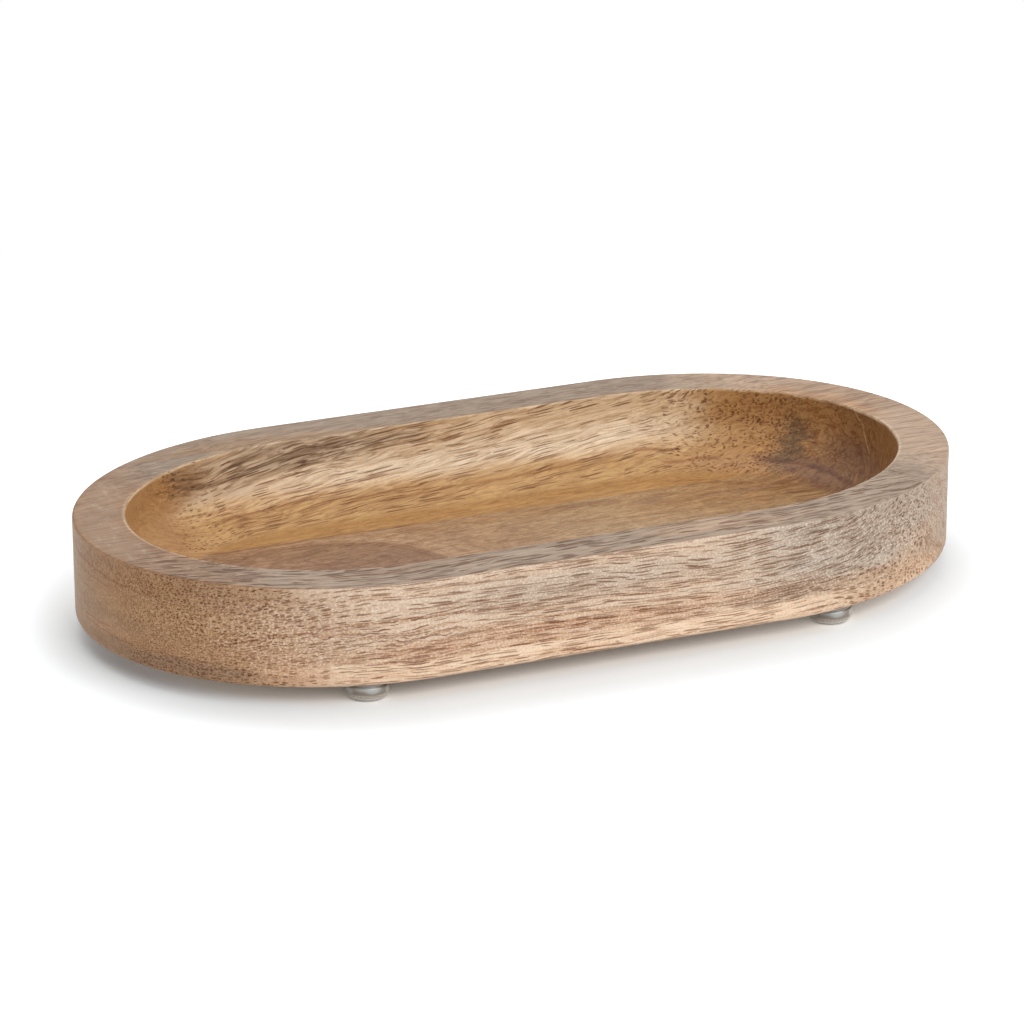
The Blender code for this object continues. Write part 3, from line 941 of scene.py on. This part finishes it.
def turned_piece(name, profile, centre):
    """Spins a profile of (radius, height) pairs about the upright line through the centre."""
    work = bmesh.new()
    points = [work.verts.new((radius, 0, height)) for radius, height in profile]
    edges = [work.edges.new(pair) for pair in zip(points, points[1:])]
    bmesh.ops.spin(work, geom=points + edges, cent=(0, 0, 0), axis=(0, 0, 1), angle=2 * math.pi,
                   steps=FOOT_STEPS, use_merge=True, use_duplicate=False)
    bmesh.ops.remove_doubles(work, verts=work.verts, dist=TINY)
    bmesh.ops.recalc_face_normals(work, faces=work.faces)
    flat_map = work.loops.layers.uv.new("from_middle")
    for face in work.faces:
        face.smooth = abs(face.normal.z) < LIES_FLAT
        for loop in face.loops:
            loop[flat_map].uv = loop.vert.co.xy / MM
    bmesh.ops.translate(work, vec=centre, verts=work.verts)
    return finished_piece(name, work)


def rounded_disc(radius, height, low_round, top_round):
    """Half section of a disc with rounded edges, from the middle of its underside to that of its top."""
    turns = [math.pi / 2 * step / ROUND_STEPS for step in range(ROUND_STEPS + 1)]
    low = [(radius - low_round + low_round * math.sin(t), low_round - low_round * math.cos(t)) for t in turns]
    high = [(radius - top_round + top_round * math.cos(t), height - top_round + top_round * math.sin(t))
            for t in turns[::2]]
    return [(0, 0), *low, *high, (0, height)]


# %% [markdown]
# ### What they are made of
#
# Clear elastomer is a glass of a low index, but a small foot under a tray isn't seen as clean glass:
# it bends the white sheet into a pale patch near the top of its front, holds the shade of the wood
# around it, and is frosted with fine specks lower down, with a pale lip above the line where it
# stands. So the finish is partly glass and partly a hazy body whose colour carries these tones: the
# pale patches are a painted reflection of the sheet, the darker upper part is painted shade from the
# wood, and a dark line at the bottom is a painted contact shadow.

# %% Patches of painted reflection in a foot: across and up from its middle, their reach, and their colour
FOOT_PAINTED_REFLECTIONS = (((-1.4, 3.8), (3.4, 0.8), paint(190, 190, 184)),
                ((1.6, 3.6), (2.6, 1.3), paint(206, 208, 204)),
                ((-4.8, 3.0), (1.5, 1.2), paint(214, 211, 203)),
                ((5.4, 3.0), (0.7, 1.6), paint(205, 200, 190)))
FRONT_TURN = (0.918, -0.397)
# SHADED darkens the tint for the painted shade of the wood, SPECKED for the frosted specks.
SHADED, SPECKED = (0.45, 0.42, 0.4), (0.5, 0.43, 0.36)
LIP_SHADE, CONTACT_SHADE = (0.95, 0.9, 0.82, 1), (0.16, 0.14, 0.12, 1)
HAZE, COAT, COAT_ROUGHNESS = 0.7, 0.5, 0.08
print(len(FOOT_PAINTED_REFLECTIONS), "patches of light in each foot")


# %% Clear elastomer and clear tape
def tinted(tint, shade):
    return (*(part * share for part, share in zip(tint, shade)), 1)


def clear_finish(name, tint, roughness, index):
    finish = bpy.data.materials.new(name)
    finish.use_nodes = True
    bench = Bench(finish.node_tree)
    place = bench.in_millimetres(bench.node("ShaderNodeTexCoord", out=3))
    height = bench.split(place)[2]
    x, y, _ = bench.split(bench.node("ShaderNodeUVMap", uv_map="from_middle"))
    sideways = x * FRONT_TURN[0] + y * FRONT_TURN[1]
    specks = bench.rise(bench.noise(place, (0.35, 0.35, 0.3)), 0.35, 0.65)
    frosted = bench.rise(height, 2.6, 1.8)
    # Painted shade from the wood: the foot is darker above 2.4 mm.
    tone = bench.mix(bench.rise(height, 1.8, 2.4), tint, tinted(tint, SHADED))
    tone = bench.mix(specks * frosted * 0.7, tone, tinted(tint, SPECKED))
    # Painted reflection: pale patches near the top of the foot's front.
    for (across, up), (reach, rise), shade in FOOT_PAINTED_REFLECTIONS:
        off = bench.vector((sideways - across) * (1 / reach), (height - up) * (1 / rise))
        tone = bench.mix(bench.rise(bench.vector_math("LENGTH", off, out=1), 1.1, 0.3), tone, shade)
    lip = bench.rise(height, 1.4, 1.0) * bench.rise(height, 0.35, 0.55)
    tone = bench.mix(lip * 0.8, tone, LIP_SHADE)
    # Painted contact shadow: a dark line where the foot stands.
    tone = bench.mix(bench.rise(height, 0.45, 0.25), tone, CONTACT_SHADE)
    skin = finish.node_tree.nodes["Principled BSDF"]
    bench.tree.links.new(tone.socket, skin.inputs["Base Color"])
    bench.tree.links.new((frosted * 0.12 + roughness).socket, skin.inputs["Roughness"])
    skin.inputs["IOR"].default_value = index
    skin.inputs["Transmission Weight"].default_value = 1 - HAZE
    skin.inputs["Coat Weight"].default_value = COAT
    skin.inputs["Coat Roughness"].default_value = COAT_ROUGHNESS
    print(name, "has an index of", index)
    return finish


elastomer = clear_finish("clear_elastomer", (0.76, 0.68, 0.58, 1), roughness=0.08, index=1.45)
tape = clear_finish("clear_tape", (1.0, 0.95, 0.87, 1), roughness=0.3, index=1.4)

# %% Four feet and their tape
for corner in ("front_left", "front_right", "back_left", "back_right"):
    low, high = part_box("foot_" + corner)
    middle = (low + high) / 2
    foot = turned_piece("clear_foot_" + corner, rounded_disc(FOOT_RADIUS, high.z, FOOT_ROUND, FOOT_LIP),
                        (middle.x, middle.y, 0))
    foot.data.materials.append(elastomer)
    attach(foot, "root")
    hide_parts("foot_" + corner)
    disc = turned_piece("clear_tape_" + corner, rounded_disc(TAPE_RADIUS, BASE - high.z, TAPE_LIP, TAPE_LIP),
                        (middle.x, middle.y, high.z))
    disc.data.materials.append(tape)
    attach(disc, "root")
    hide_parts("adhesive_" + corner)
print("feet", round(2 * FOOT_RADIUS / MM, 1), "mm across and", round(high.z / MM, 1), "mm high")

# %% [markdown]
# ## Camera
#
# The photograph is taken from well back with a long lens, from the left and a little above. The
# numbers come from matching the rim, the outline and the feet, and the lens is shifted a little,
# because the photograph's frame isn't centred on the lens.

# %% Camera
PICTURE_WIDTH, SENSOR_WIDTH = 1024, 36
AZIMUTH, ELEVATION, ROLL = math.radians(-23.4155), math.radians(21.1418), math.radians(-0.07)
DISTANCE, FOCAL_PIXELS = 1.27135, 4617.65
AIM_HEIGHT = 0.8 * MM
CENTRE_X, CENTRE_Y = 519.27, 583.39

camera_data = bpy.data.cameras.new("camera")
camera = bpy.data.objects.new("camera", camera_data)
scene.collection.objects.link(camera)
back = Vector((math.sin(AZIMUTH) * math.cos(ELEVATION), -math.cos(AZIMUTH) * math.cos(ELEVATION),
               math.sin(ELEVATION)))
camera.location = back * DISTANCE + Vector((0, 0, AIM_HEIGHT))
turned_back = (-back).to_track_quat("-Z", "Y").to_matrix()
camera.rotation_euler = (turned_back @ Matrix.Rotation(ROLL, 3, "Z")).to_euler()
camera_data.sensor_width = SENSOR_WIDTH
camera_data.lens = FOCAL_PIXELS * camera_data.sensor_width / PICTURE_WIDTH
camera_data.shift_x = (PICTURE_WIDTH / 2 - CENTRE_X) / PICTURE_WIDTH
camera_data.shift_y = (CENTRE_Y - PICTURE_WIDTH / 2) / PICTURE_WIDTH
scene.camera = camera
print("lens of", round(camera_data.lens, 1), "mm,", DISTANCE, "m away")

# %% [markdown]
# ## Studio
#
# The tray stands on a white sheet, in front of nothing but white. One long softbox stands in front
# and a little to the right, another hangs overhead, and the white room fills in the rest. Both are
# large, so the shade under the tray is soft. The camera sees the sheet a little brighter than it is,
# as an exposed product picture does: the sheet's own glow is painted light, which lightens the shade
# under the tray with a painted warm bounce, where the wood throws warm light back, and more and more
# outside of it. Farther off the sheet runs out into plain white, so no horizon shows. Gloss and clear
# pieces see the same white.

# %% White sheet
# Painted light: the curve sets how much the sheet glows by its gap from the tray, lightening the shade near
# it.
LIFT_SPAN = (-16, 34)
LIFT = (0.09, 0.1, 0.13, 0.12, 0.07, 0.05, 0.075, 0.14, 0.21, 0.27, 0.3)
LIFT_RIGHT, LIFT_BEHIND = 0.08, 0.18
SHEET_HALF = 6
PAPER, PAPER_IN_SHADE = (0.94, 0.98, 1, 1), (1, 0.96, 0.92, 1)
WHITE, PAINTED_WARM_BOUNCE, GREY = (1, 1, 1, 1), (1.07, 1, 0.88, 1), (0.8, 0.8, 0.8, 1)
print("the camera sees the sheet up to", max(LIFT), "brighter")


def seen_directly(bench):
    """1 for the rays that show the background itself: from the camera, off gloss and through clear pieces."""
    path = bench.node("ShaderNodeLightPath").socket.node
    rays = ("Is Camera Ray", "Is Glossy Ray", "Is Transmission Ray")
    return bench.highest(*(Value(bench, path.outputs[name]) for name in rays))


# %% Lay the sheet, and paint it
work = bmesh.new()
bmesh.ops.create_grid(work, x_segments=1, y_segments=1, size=SHEET_HALF)
sheet = finished_piece("white_sheet", work)
sheet_finish = bpy.data.materials.new("white_sheet")
sheet_finish.use_nodes = True
bench = Bench(sheet_finish.node_tree)
bench.tree.nodes.clear()
side, front, _ = bench.split(bench.in_millimetres(bench.node("ShaderNodeTexCoord", out=3)))
past_straight = bench.highest(bench.size_of(side) - outside_straight / MM, 0.0)
gap = bench.vector_math("LENGTH", bench.vector(past_straight, front), out=1) - HALF_WIDTH / MM
lift = bench.curve(gap, LIFT_SPAN, LIFT) + bench.rise(side, 10, 120, 0, LIFT_RIGHT)
lift = lift + bench.rise(front, -20, 60, 0, LIFT_BEHIND)
# Under the tray the sheet's colour and glow turn warm: a painted warm bounce.
outside = bench.rise(gap, -5, 4)
paper = bench.mix(outside, PAPER_IN_SHADE, PAPER)
glow = bench.mix(outside, PAINTED_WARM_BOUNCE, WHITE)
plain = bench.node("ShaderNodeBsdfDiffuse", {"Color": GREY})
sheet_light = bench.node("ShaderNodeEmission", {"Color": glow, "Strength": lift})
near = bench.node("ShaderNodeAddShader", {0: bench.node("ShaderNodeBsdfDiffuse", {"Color": paper}),
                                          1: sheet_light})
far = bench.node("ShaderNodeEmission", {"Strength": 1.0})
seen = bench.node("ShaderNodeMixShader", {0: bench.rise(gap, 60, 300), 1: near, 2: far})
output = bench.tree.nodes.new("ShaderNodeOutputMaterial")
shown = bench.node("ShaderNodeMixShader", {0: seen_directly(bench), 1: plain, 2: seen})
bench.tree.links.new(shown.socket, output.inputs[0])
sheet.data.materials.append(sheet_finish)
print(len(bench.tree.nodes), "nodes in the sheet")

# %% White room
ROOM_FILL = 0.45

scene.view_settings.view_transform = "Standard"
world = bpy.data.worlds.new("white_room")
scene.world = world
world.use_nodes = True
bench = Bench(world.node_tree)
air = world.node_tree.nodes["Background"]
air.inputs["Color"].default_value = WHITE
bench.tree.links.new((seen_directly(bench) * (1 - ROOM_FILL) + ROOM_FILL).socket, air.inputs["Strength"])
print("the room lights with a strength of", ROOM_FILL)


# %% Softboxes
def softbox(name, azimuth, elevation, distance, width, height, watts):
    """A rectangular lamp that looks at the tray from the given direction."""
    data = bpy.data.lights.new(name, "AREA")
    data.shape, data.size, data.size_y, data.energy = "RECTANGLE", width, height, watts
    lamp = bpy.data.objects.new(name, data)
    turn, tilt = math.radians(azimuth), math.radians(elevation)
    away = Vector((math.sin(turn) * math.cos(tilt), -math.cos(turn) * math.cos(tilt), math.sin(tilt)))
    lamp.location = away * distance
    lamp.rotation_euler = (-away).to_track_quat("-Z", "Y").to_euler()
    scene.collection.objects.link(lamp)
    print(name, watts, "W,", distance, "m away")


softbox("front_softbox", azimuth=16, elevation=38, distance=1.6, width=1.5, height=0.9, watts=14.5)
softbox("top_softbox", azimuth=180, elevation=70, distance=1.5, width=1.4, height=1.2, watts=7.5)
